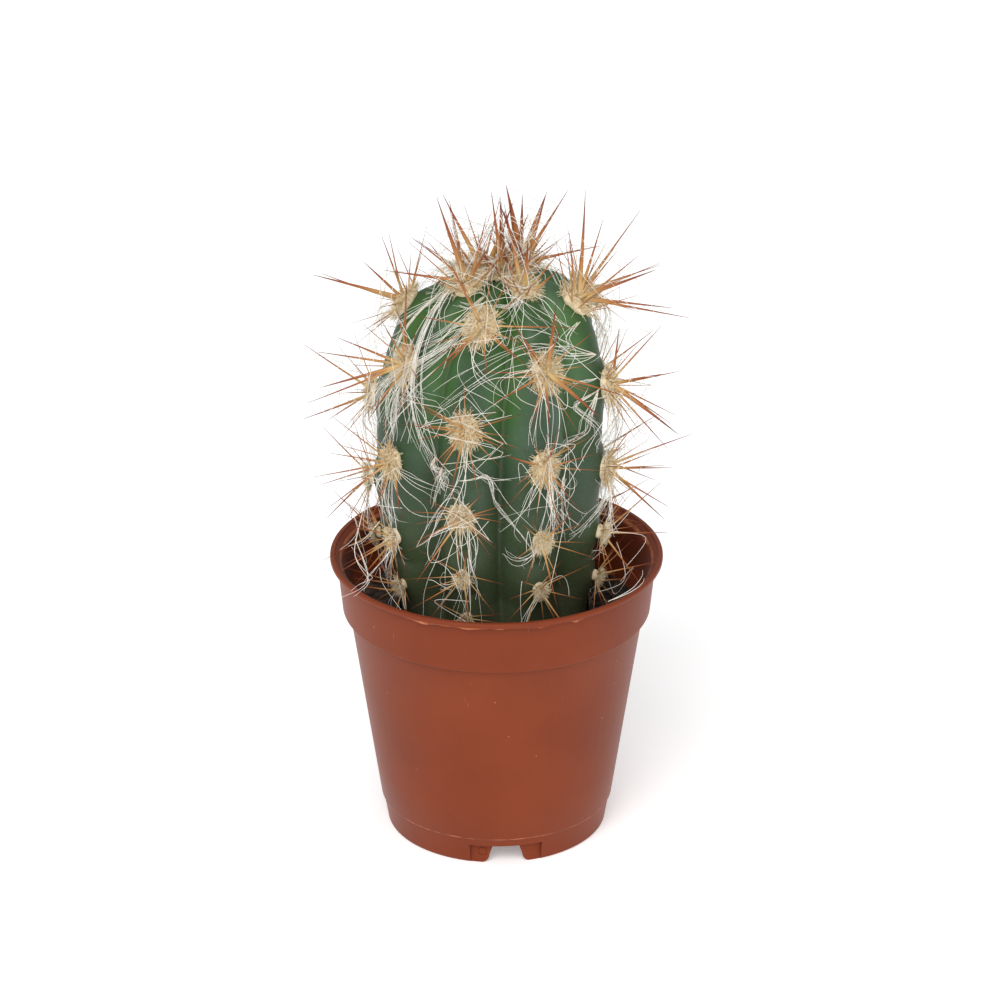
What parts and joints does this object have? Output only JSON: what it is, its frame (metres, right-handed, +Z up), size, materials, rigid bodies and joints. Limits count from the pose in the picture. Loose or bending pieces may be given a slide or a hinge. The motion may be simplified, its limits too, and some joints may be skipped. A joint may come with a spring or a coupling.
{
  "type": "potted oreocereus cactus",
  "caption": "Small ribbed column cactus with woolly areoles, orange-brown spines and long white hairs, standing in a terracotta-coloured plastic nursery pot filled with peat.",
  "frame": {"origin": "centre of the pot's foot, on the surface that it stands on", "axes": "+Z up along the pot's axis; the side that the picture shows faces -Y, with +X to the picture's right"},
  "size_m": [0.063, 0.063, 0.115],
  "materials": {
    "pot": "moulded terracotta-coloured polypropylene, satin, lightly scuffed",
    "soil": "dark fibrous peat",
    "skin": "waxy dark green cactus skin",
    "wool": "short cream felt of the areoles",
    "spine": "hard orange-brown spine, cream at its foot and dark at its tip",
    "hair": "long fine white hair"
  },
  "bodies": {
    "root": {"pot": "pot", "soil": "soil", "cactus": "skin"}
  },
  "joints": []
}
